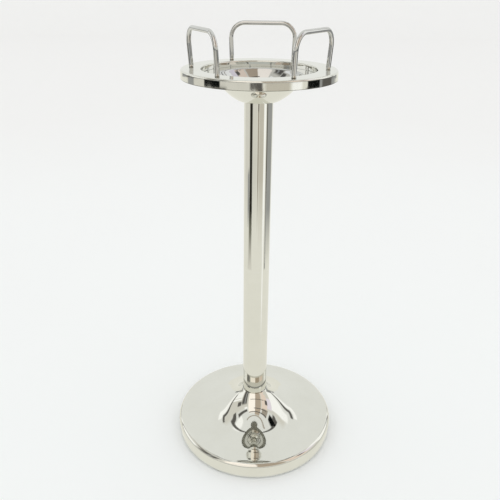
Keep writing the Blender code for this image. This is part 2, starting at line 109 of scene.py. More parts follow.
GUARD_FIRST_DEG = 86.4
GUARD_HALF_DEG = 29.5
GUARD_CIRCLE_RADIUS = 0.0870
GUARD_HEIGHT = 0.0480
GUARD_LEAN_DEG = 4.0
GUARD_BEND_RADIUS = 0.0190
GUARD_ROD_RADIUS = 0.0030
GUARD_STRAIGHT_FOOT = 0.0025
GUARD_CHAMFER = 0.0004
GUARD_STUD_RADIUS = 0.0025
GUARD_NUT_FLATS = 0.0080
GUARD_NUT_HEIGHT = 0.0040
STUD_PITCH = 0.0008
STUD_THREAD_DEPTH = 0.000176
STUD_TIP = 0.0003

TIE_ROD_RADIUS = 0.0040
TIE_ROD_THREADED = 0.0300
TIE_ROD_CHAMFER = 0.0008
TIE_ROD_PITCH = 0.00125
TIE_ROD_THREAD_DEPTH = 0.00045
TIE_NUT_FLATS = 0.0130

# a nut's chamfer as a share of its width across flats, its end face as a share of half that width,
# and the countersink of its bore as a share of the chamfer
NUT_CHAMFER_SHARE = 0.045
NUT_FACE_SHARE = 0.985
NUT_BORE_SHARE = 0.6
NUT_SHARP_DEG = 30.0

CAP_RADIUS = TIE_NUT_FLATS / 2 * 0.93
CAP_HALF_FLATS = CAP_RADIUS * 0.94
CAP_FACE_RADIUS = CAP_RADIUS * 0.93
CAP_DOME_RADIUS = CAP_HALF_FLATS * 0.94
CAP_HEXAGON_HEIGHT = 0.0055
CAP_CHAMFER = 0.0006
CAP_BORE_DEPTH = 0.0090

# the skirt's cut edge and the guards' feet keep a duller plating, darkened with painted shade, up to these
# heights
EDGE_LINE = 0.0005
FOOT_LINE = 0.0006

# limits for a face's normal along Z: over the first it faces up, under the second it is a flat
# underside, and under the third it is anything but a flat top
FACES_UP = 0.02
FACES_FLAT_DOWN = -0.99
FACES_NOT_UP = 0.5

# how many steps the round shapes take
LATHE_STEPS = 192
TUBE_STEPS = 96
TIE_ROD_STEPS = 32
FLARE_STEPS = 108
FLARE_SUMS = 4
RIM_EDGE_STEPS = 22
CRIMP_STEPS = 6
PAD_EDGE_STEPS = 4
POST_EDGE_STEPS = 3
POST_ROWS = 24
RING_EDGE_STEPS = 14
MOUTH_EDGE_STEPS = 12
BOWL_STEPS = 30
BOWL_CORNER_STEPS = 7
BEND_STEPS = 18
BAR_STEPS = 4
ROD_SIDES = 28
NUT_SIDES = 48
DOME_STEPS = 14

# straight runs over this length get support points this far from their ends
LONG_RUN = 0.0030
SUPPORT_STEP = 0.0003


# ---------------------------------------------------------------- node helpers

def new_material(name):
    material = bpy.data.materials.new(name)
    material.use_nodes = True
    nodes = material.node_tree.nodes
    return material, nodes, material.node_tree.links, nodes["Principled BSDF"]


def object_coordinates(nodes, links, scale):
    """Object-space position times a scale per axis, so patterns keep their real size."""
    place = nodes.new("ShaderNodeTexCoord")
    mapping = nodes.new("ShaderNodeMapping")
    mapping.inputs["Scale"].default_value = scale
    links.new(place.outputs["Object"], mapping.inputs["Vector"])
    return mapping.outputs["Vector"]


def noise(nodes, links, vector, scale, detail, roughness=0.5):
    texture = nodes.new("ShaderNodeTexNoise")
    texture.inputs["Scale"].default_value = scale
    texture.inputs["Detail"].default_value = detail
    texture.inputs["Roughness"].default_value = roughness
    links.new(vector, texture.inputs["Vector"])
    return texture.outputs["Fac"]


def span(nodes, links, value, low, high, to_low, to_high):
    """Map low..high to to_low..to_high, clamped."""
    ranged = nodes.new("ShaderNodeMapRange")
    ranged.inputs["From Min"].default_value = low
    ranged.inputs["From Max"].default_value = high
    ranged.inputs["To Min"].default_value = to_low
    ranged.inputs["To Max"].default_value = to_high
    links.new(value, ranged.inputs["Value"])
    return ranged.outputs["Result"]


def combine(nodes, links, operation, first, second):
    math_node = nodes.new("ShaderNodeMath")
    math_node.operation = operation
    links.new(first, math_node.inputs[0])
    if isinstance(second, float):
        math_node.inputs[1].default_value = second
    else:
        links.new(second, math_node.inputs[1])
    return math_node.outputs["Value"]


def two_tone(nodes, links, factor, first, second):
    mix = nodes.new("ShaderNodeMix")
    mix.data_type = "RGBA"
    mix.inputs["A"].default_value = (*first, 1.0)
    mix.inputs["B"].default_value = (*second, 1.0)
    links.new(factor, mix.inputs["Factor"])
    return mix.outputs["Result"]


def relief(nodes, links, shader, height, strength, distance):
    bump = nodes.new("ShaderNodeBump")
    bump.inputs["Strength"].default_value = strength
    bump.inputs["Distance"].default_value = distance
    links.new(height, bump.inputs["Height"])
    links.new(bump.outputs["Normal"], shader.inputs["Normal"])


def hairlines(nodes, links, scale, stretch, rotation, width):
    """Sparse thin scratches: the narrow zero crossings of a long stretched noise."""
    place = nodes.new("ShaderNodeTexCoord")
    mapping = nodes.new("ShaderNodeMapping")
    mapping.inputs["Rotation"].default_value = rotation
    mapping.inputs["Scale"].default_value = stretch
    links.new(place.outputs["Object"], mapping.inputs["Vector"])
    wave = noise(nodes, links, mapping.outputs["Vector"], scale, 1.0)
    off_centre = combine(nodes, links, "SUBTRACT", wave, 0.5)
    distance = nodes.new("ShaderNodeMath")
    distance.operation = "ABSOLUTE"
    links.new(off_centre, distance.inputs[0])
    line = span(nodes, links, distance.outputs["Value"], 0.0, width, 1.0, 0.0)
    patch_place = object_coordinates(nodes, links, (1, 1, 1))
    patches = noise(nodes, links, patch_place, scale * 0.9, 2.0)
    patch_mask = span(nodes, links, patches, 0.56, 0.66, 0.0, 1.0)
    return combine(nodes, links, "MULTIPLY", line, patch_mask)


# ---------------------------------------------------------------- materials

CHROME_TINT = (0.800, 0.800, 0.752)
CHROME_WORN = (0.770, 0.768, 0.715)


def chrome_material(name, low_rough=0.022, high_rough=0.060, scratch_rough=0.16,
                    tint=CHROME_TINT, worn=CHROME_WORN):
    """Polished plate: cloudy wiping marks, sparse hairline scratches, very faint orange peel."""
    material, nodes, links, shader = new_material(name)
    shader.inputs["Metallic"].default_value = 1.0
    place = object_coordinates(nodes, links, (1, 1, 1))
    smudge = noise(nodes, links, place, 26.0, 5.0, 0.62)
    streak_place = object_coordinates(nodes, links, (1.0, 1.0, 0.25))
    streak = noise(nodes, links, streak_place, 90.0, 3.0)
    haze = combine(nodes, links, "MULTIPLY", smudge, streak)
    rough = span(nodes, links, haze, 0.14, 0.42, low_rough, high_rough)
    fine = hairlines(nodes, links, 55.0, (1.0, 6.0, 1.0), (0.5, 0.3, 0.8), 0.006)
    long = hairlines(nodes, links, 34.0, (7.0, 1.0, 1.0), (0.2, 0.7, -0.5), 0.004)
    marks = combine(nodes, links, "MAXIMUM", fine, long)
    extra = combine(nodes, links, "MULTIPLY", marks, scratch_rough)
    total = combine(nodes, links, "ADD", rough, extra)
    links.new(total, shader.inputs["Roughness"])
    cloud = span(nodes, links, smudge, 0.35, 0.72, 0.0, 1.0)
    links.new(two_tone(nodes, links, cloud, tint, worn), shader.inputs["Base Color"])
    peel = noise(nodes, links, place, 420.0, 2.0)
    height = combine(nodes, links, "SUBTRACT", peel, marks)
    relief(nodes, links, shader, height, 0.012, 0.00012)
    return material


def lathe_material(name, tint, dark, low_rough, high_rough, ring_scale, bump):
    """Turned or drawn metal: fine concentric rings round the Z axis with mottled wear."""
    material, nodes, links, shader = new_material(name)
    shader.inputs["Metallic"].default_value = 1.0
    rings = nodes.new("ShaderNodeTexWave")
    rings.wave_type = "RINGS"
    rings.rings_direction = "Z"
    rings.inputs["Scale"].default_value = ring_scale
    rings.inputs["Distortion"].default_value = 1.2
    rings.inputs["Detail"].default_value = 3.0
    place = object_coordinates(nodes, links, (1, 1, 1))
    links.new(place, rings.inputs["Vector"])
    mottle = noise(nodes, links, place, 75.0, 6.0, 0.6)
    rough = span(nodes, links, mottle, 0.3, 0.7, low_rough, high_rough)
    links.new(rough, shader.inputs["Roughness"])
    wear = span(nodes, links, mottle, 0.38, 0.66, 0.0, 1.0)
    links.new(two_tone(nodes, links, wear, tint, dark), shader.inputs["Base Color"])
    height = combine(nodes, links, "ADD", rings.outputs["Fac"], mottle)
    relief(nodes, links, shader, height, bump, 0.0002)
    return material


def zinc_material(name):
    """Zinc plate: small bright and dull spangles and a few rubbed spots."""
    material, nodes, links, shader = new_material(name)
    shader.inputs["Metallic"].default_value = 1.0
    place = object_coordinates(nodes, links, (1, 1, 1))
    cells = nodes.new("ShaderNodeTexVoronoi")
    cells.inputs["Scale"].default_value = 900.0
    links.new(place, cells.inputs["Vector"])
    grain = cells.outputs["Distance"]
    cloud = noise(nodes, links, place, 240.0, 4.0)
    links.new(span(nodes, links, cloud, 0.3, 0.7, 0.20, 0.42), shader.inputs["Roughness"])
    tone = combine(nodes, links, "MULTIPLY", grain, cloud)
    factor = span(nodes, links, tone, 0.0, 0.45, 0.0, 1.0)
    links.new(two_tone(nodes, links, factor, (0.62, 0.64, 0.66), (0.44, 0.45, 0.45)),
              shader.inputs["Base Color"])
    relief(nodes, links, shader, grain, 0.08, 0.0002)
    return material


def iron_material(name):
    """As-cast iron under thin black paint: sand texture with rusty pinholes."""
    material, nodes, links, shader = new_material(name)
    shader.inputs["Metallic"].default_value = 0.6
    place = object_coordinates(nodes, links, (1, 1, 1))
    sand = noise(nodes, links, place, 650.0, 8.0, 0.7)
    broad = noise(nodes, links, place, 60.0, 4.0)
    links.new(span(nodes, links, sand, 0.3, 0.7, 0.55, 0.80), shader.inputs["Roughness"])
    rust = span(nodes, links, broad, 0.55, 0.75, 0.0, 1.0)
    links.new(two_tone(nodes, links, rust, (0.055, 0.055, 0.057), (0.16, 0.085, 0.05)),
              shader.inputs["Base Color"])
    relief(nodes, links, shader, sand, 0.5, 0.0006)
    return material


def plate_material(name):
    """Rolled sheet: long directional grain with oil-stain clouds."""
    material, nodes, links, shader = new_material(name)
    shader.inputs["Metallic"].default_value = 1.0
    grain_place = object_coordinates(nodes, links, (1.0, 24.0, 1.0))
    grain = noise(nodes, links, grain_place, 190.0, 5.0)
    place = object_coordinates(nodes, links, (1, 1, 1))
    stain = noise(nodes, links, place, 22.0, 5.0, 0.65)
    links.new(span(nodes, links, grain, 0.25, 0.75, 0.34, 0.52), shader.inputs["Roughness"])
    factor = span(nodes, links, stain, 0.35, 0.7, 0.0, 1.0)
    links.new(two_tone(nodes, links, factor, (0.40, 0.40, 0.41), (0.27, 0.265, 0.26)),
              shader.inputs["Base Color"])
    relief(nodes, links, shader, grain, 0.10, 0.0002)
    return material


def rubber_material(name):
    """Moulded rubber: fine pores, dust and scuffed paler patches."""
    material, nodes, links, shader = new_material(name)
    place = object_coordinates(nodes, links, (1, 1, 1))
    pores = noise(nodes, links, place, 1500.0, 3.0)
    scuff = noise(nodes, links, place, 45.0, 6.0, 0.7)
    links.new(span(nodes, links, scuff, 0.3, 0.7, 0.62, 0.88), shader.inputs["Roughness"])
    factor = span(nodes, links, scuff, 0.52, 0.74, 0.0, 1.0)
    links.new(two_tone(nodes, links, factor, (0.018, 0.018, 0.019), (0.060, 0.058, 0.055)),
              shader.inputs["Base Color"])
    relief(nodes, links, shader, pores, 0.35, 0.0003)
    return material


CHROME = chrome_material("chrome_polished")
# The guards' rods take a darker copy of the chrome: painted shade
CHROME_ROD_PAINTED_SHADE = chrome_material("chrome_rod_painted_shade", low_rough=0.020, high_rough=0.050, scratch_rough=0.12,
                             tint=(0.67, 0.675, 0.665), worn=(0.62, 0.62, 0.605))
# The bowl's inside takes a darker copy of the chrome: painted shade in its hollow under the ring
CHROME_BOWL_PAINTED_SHADE = chrome_material("chrome_bowl_painted_shade", low_rough=0.025, high_rough=0.070,
                              tint=(0.64, 0.65, 0.64), worn=(0.56, 0.565, 0.56))
# Duller chrome whose dark tint is painted shade: under the flange, inside the skirt, under the bowl, along
# the skirt's cut edge and at the guards' feet
CHROME_DULL_PAINTED_SHADE = lathe_material("chrome_dull_painted_shade", (0.30, 0.30, 0.27), (0.16, 0.16, 0.14),
                               low_rough=0.20, high_rough=0.40, ring_scale=90.0, bump=0.05)
TURNED = lathe_material("turned_bar", (0.56, 0.56, 0.57), (0.42, 0.42, 0.42),
                        low_rough=0.24, high_rough=0.42, ring_scale=340.0, bump=0.12)
ZINC = zinc_material("zinc_plated")
IRON = iron_material("cast_iron_black")
PLATE = plate_material("rolled_plate")
RUBBER = rubber_material("rubber_black")


# ---------------------------------------------------------------- mesh helpers

def arc(centre_r, centre_z, radius, start_deg, end_deg, count):
    """Points of (radius, height) along a round stretch, both ends included."""
    points = []
    for i in range(count + 1):
        angle = math.radians(start_deg + (end_deg - start_deg) * i / count)
        points.append((centre_r + radius * math.cos(angle), centre_z + radius * math.sin(angle)))
    return points


def offset_line(points, distance):
    """The line shifted to its right-hand side by distance, point by point."""
    shifted = []
    for i, (radius, height) in enumerate(points):
        before = points[max(i - 1, 0)]
        after = points[min(i + 1, len(points) - 1)]
        along = Vector((after[0] - before[0], after[1] - before[1])).normalized()
        shifted.append((radius + along.y * distance, height - along.x * distance))
    return shifted


def finish_piece(name, bm, material, nodes, sharp_deg=35.0):
    """Turn a bmesh into a piece that stands for its CAD nodes."""
    bmesh.ops.remove_doubles(bm, verts=bm.verts, dist=1e-7)
    bmesh.ops.recalc_face_normals(bm, faces=bm.faces)
    mesh = bpy.data.meshes.new(name)
    bm.to_mesh(mesh)
    bm.free()
    mesh.shade_smooth()
    mesh.set_sharp_from_angle(angle=math.radians(sharp_deg))
    mesh.materials.append(material)
    piece = bpy.data.objects.new(name, mesh)
    bpy.context.scene.collection.objects.link(piece)
    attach(piece, "root")
    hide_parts(*nodes)
    return piece


def lathe(bm, outline, steps, closed=True):
    """Add the surface that an outline of (radius, height) sweeps round the Z axis."""
    line = [bm.verts.new((radius, 0.0, height)) for radius, height in outline]
    edges = [bm.edges.new((line[i], line[i + 1])) for i in range(len(line) - 1)]
    if closed:
        edges.append(bm.edges.new((line[-1], line[0])))
    bmesh.ops.spin(bm, geom=line + edges, cent=(0, 0, 0), axis=(0, 0, 1),
                   angle=2 * math.pi, steps=steps, use_merge=True)


def supported(outline):
    """The outline with a point close to both ends of each long straight run, so that it shades flat."""
    points = [outline[0]]
    for (r0, z0), (r1, z1) in zip(outline, outline[1:]):
        length = math.hypot(r1 - r0, z1 - z0)
        if length > LONG_RUN:
            share = SUPPORT_STEP / length
            points.append((r0 + (r1 - r0) * share, z0 + (z1 - z0) * share))
            points.append((r1 - (r1 - r0) * share, z1 - (z1 - z0) * share))
        points.append((r1, z1))
    return points


def lathe_piece(name, outline, steps, material, nodes, closed=True, sharp_deg=35.0):
    bm = bmesh.new()
    lathe(bm, supported(outline), steps, closed)
    return finish_piece(name, bm, material, nodes, sharp_deg)


def skin(bm, rings):
    """Add the faces between each ring of vertices and the next."""
    for low, high in zip(rings, rings[1:]):
        for k in range(len(low)):
            j = (k + 1) % len(low)
            bm.faces.new((low[k], low[j], high[j], high[k]))


def second_finish(piece, material, chosen):
    """Give the faces chosen by radius, height and the normal's Z a finish of their own."""
    piece.data.materials.append(material)
    index = len(piece.data.materials) - 1
    for face in piece.data.polygons:
        if chosen(math.hypot(face.center.x, face.center.y), face.center.z, face.normal.z):
            face.material_index = index


# ---------------------------------------------------------------- foot

def ramp(value, low, high):
    """0 below low, 1 above high and straight between them."""
    return min(max((value - low) / (high - low), 0.0), 1.0)


NECK_RADIUS = POST_RADIUS + GAP + COVER_SHEET
EDGE_START = COVER_RADIUS - RIM_EDGE_RADIUS * (1 - math.sin(math.radians(EDGE_SLOPE_DEG)))


def cover_slope(radius):
    """Steep at the neck, a long even shoulder, nearly level near the rim, then crowned."""
    collar = 1 - ramp(radius, NECK_RADIUS, SHOULDER_RADIUS)
    slope = SHOULDER_SLOPE_DEG + (NECK_SLOPE_DEG - SHOULDER_SLOPE_DEG) * collar ** NECK_POWER
    slope += (SKIRT_SLOPE_DEG - SHOULDER_SLOPE_DEG) * ramp(radius, SHOULDER_RADIUS, SKIRT_RADIUS)
    slope += (LEVEL_SLOPE_DEG - SKIRT_SLOPE_DEG) * ramp(radius, SKIRT_RADIUS, LEVEL_RADIUS)
    slope += (EDGE_SLOPE_DEG - LEVEL_SLOPE_DEG) * ramp(radius, CROWN_RADIUS, EDGE_START)
    return slope


def cover_flare():
    """Top surface from the neck to the start of the rounded edge, summed from the edge inwards."""
    height = RIM_STRAIGHT_TOP_Z + RIM_EDGE_RADIUS * math.cos(math.radians(EDGE_SLOPE_DEG))
    points = [(EDGE_START, height)]
    step = (EDGE_START - NECK_RADIUS) / FLARE_STEPS
    for i in range(FLARE_STEPS):
        for k in range(FLARE_SUMS):
            middle = EDGE_START - step * (i + (k + 0.5) / FLARE_SUMS)
            height += step / FLARE_SUMS * math.tan(math.radians(cover_slope(middle)))
        points.append((EDGE_START - step * (i + 1), height))
    return points[::-1]


def base_cover():
    """Spun sheet shell: flared top, rounded rim, and an edge crimped inwards at the bottom."""
    edge = arc(COVER_RADIUS - RIM_EDGE_RADIUS, RIM_STRAIGHT_TOP_Z, RIM_EDGE_RADIUS,
               90 - EDGE_SLOPE_DEG, 0, RIM_EDGE_STEPS)
    outside = cover_flare() + edge[1:]
    inside = offset_line(outside, COVER_SHEET)
    neck_z = outside[0][1]
    outside[0] = (NECK_RADIUS - NECK_CHAMFER, neck_z)
    inside[0] = (POST_RADIUS + GAP, neck_z - NECK_EDGE)
    outside += arc(COVER_RADIUS - CRIMP_BEND, COVER_BOTTOM_Z + CRIMP_BEND, CRIMP_BEND, 0, -90, CRIMP_STEPS)
    crimp_radius = COVER_RADIUS - CRIMP_WIDTH
    crimp_top = COVER_BOTTOM_Z + COVER_SHEET
    crimp = [(crimp_radius, COVER_BOTTOM_Z), (crimp_radius, crimp_top),
             (COVER_RADIUS - COVER_SHEET, crimp_top)]
    outline = [(POST_RADIUS + GAP, neck_z)] + outside + crimp + inside[::-1]
    lathe_piece("base_cover_shell", outline, LATHE_STEPS, CHROME, ["base_cover"])


def floor_ring():
    """Floor ring with rounded edges and shallow grooves in its underside."""
    inner = PAD_INNER_RADIUS + PAD_EDGE
    outer = PAD_OUTER_RADIUS - PAD_EDGE
    upper = PAD_THICKNESS - PAD_EDGE
    outline = arc(inner, upper, PAD_EDGE, 180, 90, PAD_EDGE_STEPS)
    outline += arc(outer, upper, PAD_EDGE, 90, 0, PAD_EDGE_STEPS)
    outline += arc(outer, PAD_EDGE, PAD_EDGE, 0, -90, PAD_EDGE_STEPS)
    pitch = (PAD_OUTER_RADIUS - PAD_INNER_RADIUS) / (PAD_GROOVES + 1)
    for i in range(PAD_GROOVES):
        middle = PAD_OUTER_RADIUS - pitch * (i + 1)
        outline += [(middle + GROOVE_HALF, 0.0), (middle + GROOVE_FLOOR_HALF, GROOVE_DEPTH),
                    (middle - GROOVE_FLOOR_HALF, GROOVE_DEPTH), (middle - GROOVE_HALF, 0.0)]
    outline += arc(inner, PAD_EDGE, PAD_EDGE, 270, 180, PAD_EDGE_STEPS)
    lathe_piece("floor_ring", outline, TUBE_STEPS, RUBBER, ["floor_pad"])


# ---------------------------------------------------------------- post

def post():
    """Plain tube with rounded outer edges and rows of faces along its length."""
    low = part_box("post_tube")[0][2]
    inner = POST_RADIUS - POST_WALL
    bottom = arc(POST_RADIUS - POST_EDGE, low + POST_EDGE, POST_EDGE, 0, -90, POST_EDGE_STEPS)
    top = arc(POST_RADIUS - POST_EDGE, POST_TOP_Z - POST_EDGE, POST_EDGE, 90, 0, POST_EDGE_STEPS)
    side_top = POST_TOP_Z - POST_EDGE
    side_length = side_top - low - POST_EDGE
    side = [(POST_RADIUS, side_top - side_length * i / POST_ROWS) for i in range(1, POST_ROWS)]
    outline = [(inner, POST_TOP_Z)] + top + side + bottom + [(inner, low)]
    lathe_piece("post_tube_polished", outline, TUBE_STEPS, CHROME, ["post_tube"])


# ---------------------------------------------------------------- ring tray and bowl

def tray_ring():
    """Formed channel: outer skirt, flat flange and turned-down inner wall, dull and darkened with painted
    shade on its hidden side.
    """
    skirt_end = FLANGE_Z - SKIRT_HEIGHT
    wall_end = FLANGE_Z - MOUTH_WALL_HEIGHT
    skirt_inner = RING_RADIUS - RING_SHEET
    outer_bend = arc(RING_RADIUS - RING_EDGE_RADIUS, FLANGE_Z - RING_EDGE_RADIUS, RING_EDGE_RADIUS,
                     0, 90, RING_EDGE_STEPS)
    inner_bend = arc(MOUTH_RADIUS + MOUTH_EDGE_RADIUS, FLANGE_Z - MOUTH_EDGE_RADIUS, MOUTH_EDGE_RADIUS,
                     90, 180, MOUTH_EDGE_STEPS)
    outside = [(RING_RADIUS, skirt_end)] + outer_bend + inner_bend + [(MOUTH_RADIUS, wall_end)]
    inside = offset_line(outside, -RING_SHEET)
    outside[0] = (RING_RADIUS, skirt_end + SKIRT_EDGE)
    inside[0] = (skirt_inner, skirt_end + SKIRT_EDGE)
    inside[-1] = (MOUTH_RADIUS + RING_SHEET, wall_end)
    edge = [(RING_RADIUS - SKIRT_CHAMFER, skirt_end), (skirt_inner + SKIRT_CHAMFER, skirt_end)]
    outline = outside[::-1] + edge + inside
    ring = lathe_piece("tray_ring_polished", outline, LATHE_STEPS, CHROME, ["tray_ring"])

    wall_middle = MOUTH_RADIUS + RING_SHEET / 2
    skirt_middle = RING_RADIUS - RING_SHEET / 2
    flange_middle_z = FLANGE_Z - RING_SHEET / 2

    # the hidden side and the cut edge take the dull chrome, whose dark tint is painted shade
    def dull_painted_shade_faces(radius, height, up):
        hidden_side = wall_middle < radius < skirt_middle and height < flange_middle_z
        cut_edge = radius > skirt_middle and height < skirt_end + EDGE_LINE
        return hidden_side or cut_edge

    second_finish(ring, CHROME_DULL_PAINTED_SHADE, dull_painted_shade_faces)


def bowl_line():
    """Upper surface of the bowl from its lip to the rod hole."""
    lip_z = FLANGE_Z - RING_SHEET - GAP
    wall = MOUTH_RADIUS + RING_SHEET + GAP
    ledge_z = FLANGE_Z - BOWL_LEDGE_DEPTH
    ball = BOWL_SPHERE_RADIUS - BOWL_SHEET
    centre_z = FLANGE_Z + BOWL_SPHERE_RISE
    floor_z = FLANGE_Z - BOWL_DEPTH + BOWL_SHEET
    start = -math.degrees(math.asin((centre_z - (ledge_z - BOWL_CORNER_RADIUS)) / ball))
    end = -math.degrees(math.asin((centre_z - floor_z) / ball))
    sphere = arc(0.0, centre_z, ball, start, end, BOWL_STEPS)
    corner = arc(sphere[0][0] + BOWL_CORNER_RADIUS, ledge_z - BOWL_CORNER_RADIUS, BOWL_CORNER_RADIUS,
                 90, BOWL_CORNER_END_DEG, BOWL_CORNER_STEPS)
    lip = [(BOWL_LIP_RADIUS, lip_z), (wall, lip_z), (wall, ledge_z)]
    return lip + corner + sphere[1:] + [(TIE_ROD_RADIUS + BOWL_BORE_CLEARANCE, floor_z)]


def drip_bowl():
    """Spun dish under the ring: lip, wall, ledge and a round bowl with a flat bottom."""
    inside = bowl_line()
    outside = offset_line(inside, -BOWL_SHEET)
    lip_z, ledge_z = inside[0][1], inside[2][1]
    wall = inside[1][0] + BOWL_SHEET
    outside[0] = (BOWL_LIP_RADIUS, lip_z - BOWL_SHEET)
    outside[1] = (wall, lip_z - BOWL_SHEET)
    outside[2] = (wall, ledge_z - BOWL_SHEET)
    outside[3] = (inside[3][0], ledge_z - BOWL_SHEET)
    outside[-1] = (inside[-1][0], FLANGE_Z - BOWL_DEPTH)
    outline = inside + outside[::-1]
    bowl = lathe_piece("drip_bowl_polished", outline, LATHE_STEPS, CHROME, ["drip_bowl"])

    lip_start = wall - BOWL_SHEET / 2
    flat_bottom_radius = BOWL_SPHERE_RADIUS / 2

    # the upward faces and flat undersides inside the lip take the darker chrome copy: painted shade
    def painted_shade_faces(radius, height, up):
        return radius < lip_start and (up > FACES_UP or up < FACES_FLAT_DOWN)

    # the lip's underside and the flat bottom's underside take the dull chrome, darkened with painted shade
    def dull_painted_shade_faces(radius, height, up):
        lip_underside = radius > lip_start and up < FACES_NOT_UP
        flat_bottom = radius < flat_bottom_radius and up < FACES_FLAT_DOWN
        return lip_underside or flat_bottom

    second_finish(bowl, CHROME_BOWL_PAINTED_SHADE, painted_shade_faces)
    second_finish(bowl, CHROME_DULL_PAINTED_SHADE, dull_painted_shade_faces)


# ---------------------------------------------------------------- guards

def bend(before, corner, after):
    """The guard's round bend where two straight runs meet at a corner."""
    back = (before - corner).normalized()
    ahead = (after - corner).normalized()
    half = back.angle(ahead) / 2
    centre = corner + (back + ahead).normalized() * (GUARD_BEND_RADIUS / math.sin(half))
    start = corner + back * (GUARD_BEND_RADIUS / math.tan(half)) - centre
    end = corner + ahead * (GUARD_BEND_RADIUS / math.tan(half)) - centre
    sweep = start.angle(end)
    side = (end - start * math.cos(sweep)) / math.sin(sweep)
    turns = [sweep * i / BEND_STEPS for i in range(BEND_STEPS + 1)]
    return [centre + start * math.cos(turn) + side * math.sin(turn) for turn in turns]


def leg_line(angle):
    """Foot, end of the upright stretch and unrounded top corner of one leg."""
    outward = Vector((math.cos(angle), math.sin(angle), 0.0))
    foot = outward * GUARD_CIRCLE_RADIUS + Vector((0, 0, FLANGE_Z + GAP))
    knee = foot + Vector((0, 0, GUARD_STRAIGHT_FOOT))
    rise = GUARD_HEIGHT - GAP - GUARD_STRAIGHT_FOOT
    top = knee + outward * (rise * math.tan(math.radians(GUARD_LEAN_DEG))) + Vector((0, 0, rise))
    return foot, knee, top


def foot_stations(foot, stud_low):
    """Points and radii from a leg's chamfered foot down its threaded stud, one groove for each turn."""
    chamfer = Vector((0, 0, GUARD_CHAMFER))
    stations = [(foot + chamfer, GUARD_ROD_RADIUS),
                (foot, GUARD_ROD_RADIUS - GUARD_CHAMFER / 2),
                (foot, GUARD_STUD_RADIUS)]
    top = foot - chamfer
    bottom = Vector((foot.x, foot.y, stud_low))
    count = max(2, int((top.z - bottom.z) / (STUD_PITCH / 2)))
    for i in range(count):
        groove = STUD_THREAD_DEPTH if i % 2 else 0.0
        stations.append((top.lerp(bottom, i / count), GUARD_STUD_RADIUS - groove))
    stations.append((bottom + Vector((0, 0, STUD_TIP)), GUARD_STUD_RADIUS))
    stations.append((bottom, GUARD_STUD_RADIUS - STUD_TIP))
    return stations


def rod_ring(bm, point, radius, along, outward):
    """A ring of vertices round a point of the rod, square to its direction."""
    across = along.cross(outward).normalized()
    normal = across.cross(along).normalized()
    ring = []
    for k in range(ROD_SIDES):
        angle = 2 * math.pi * k / ROD_SIDES
        ring.append(bm.verts.new(point + radius * (normal * math.cos(angle) + across * math.sin(angle))))
    return ring


def guard(name, first, second, node):
    """One bent rod with a chamfered foot and a threaded stud at each end."""
    foot_a, knee_a, top_a = leg_line(first)
    foot_b, knee_b, top_b = leg_line(second)
    rising = bend(knee_a, top_a, top_b)
    falling = bend(top_a, top_b, knee_b)
    bar = [rising[-1].lerp(falling[0], i / BAR_STEPS) for i in range(1, BAR_STEPS)]
    path = [knee_a] + rising + bar + falling + [knee_b]
    stud_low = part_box(node)[0][2]
    up_run = foot_stations(foot_a, stud_low)[::-1]
    down_run = foot_stations(foot_b, stud_low)
    stations = up_run + [(point, GUARD_ROD_RADIUS) for point in path] + down_run
    outward = foot_a + foot_b
    outward.z = 0
    outward.normalize()
    first_path = len(up_run)
    last_path = first_path + len(path) - 1
    bm = bmesh.new()
    rings = []
    for i, (point, radius) in enumerate(stations):
        if i <= first_path:
            along = Vector((0, 0, 1))
        elif i >= last_path:
            along = Vector((0, 0, -1))
        else:
            along = stations[i + 1][0] - stations[i - 1][0]
        rings.append(rod_ring(bm, point, radius, along, outward))
    skin(bm, rings)
    bm.faces.new(rings[0])
    bm.faces.new(rings[-1])
    # the rod takes the darker chrome copy: painted shade
    rod = finish_piece(name, bm, CHROME_ROD_PAINTED_SHADE, [node])
    # each foot takes the dull chrome up to FOOT_LINE; its dark tint is painted shade where the rod meets
    # the flange
    second_finish(rod, CHROME_DULL_PAINTED_SHADE, lambda radius, height, up: height < FLANGE_Z + FOOT_LINE)


def guards():
    """Three alike guards, a third of a turn apart."""
    spread = math.radians(GUARD_HALF_DEG)
    for i, node in enumerate(("guard_back", "guard_left", "guard_right")):
        centre = math.radians(GUARD_FIRST_DEG + 120 * i)
        guard(node + "_rod", centre - spread, centre + spread, node)


# ---------------------------------------------------------------- nuts

def round_row(height, radius):
    """A level ring of points on a circle."""
    turns = [2 * math.pi * i / NUT_SIDES for i in range(NUT_SIDES)]
    return [Vector((radius * math.cos(turn), radius * math.sin(turn), height)) for turn in turns]


def hexagon_row(height, half_flats, corner):
    """A level ring of points on a hexagon, no farther out than the corner radius."""
    row = []
    for i in range(NUT_SIDES):
        turn = 2 * math.pi * i / NUT_SIDES
        off_flat = math.fmod(turn, math.pi / 3) - math.pi / 6
        reach = min(half_flats / math.cos(off_flat), corner)
        row.append(Vector((reach * math.cos(turn), reach * math.sin(turn), height)))
    return row


def nut(name, flats, height, bore, node, place, turn):
    """Chamfered hexagonal nut with a countersunk plain bore."""
    half = flats / 2
    corner = half / math.cos(math.radians(30))
    chamfer = flats * NUT_CHAMFER_SHARE
    sink = chamfer * NUT_BORE_SHARE
    face = half * NUT_FACE_SHARE
    rows = [round_row(sink, bore), round_row(0.0, bore + sink), round_row(0.0, face),
            hexagon_row(chamfer, half, corner), hexagon_row(height - chamfer, half, corner),
            round_row(height, face), round_row(height, bore + sink), round_row(height - sink, bore)]
    rotation = Matrix.Rotation(turn, 4, "Z")
    bm = bmesh.new()
    rings = [[bm.verts.new(Vector(place) + rotation @ point) for point in row] for row in rows]
    skin(bm, rings + rings[:1])
    finish_piece(name, bm, ZINC, [node], NUT_SHARP_DEG)


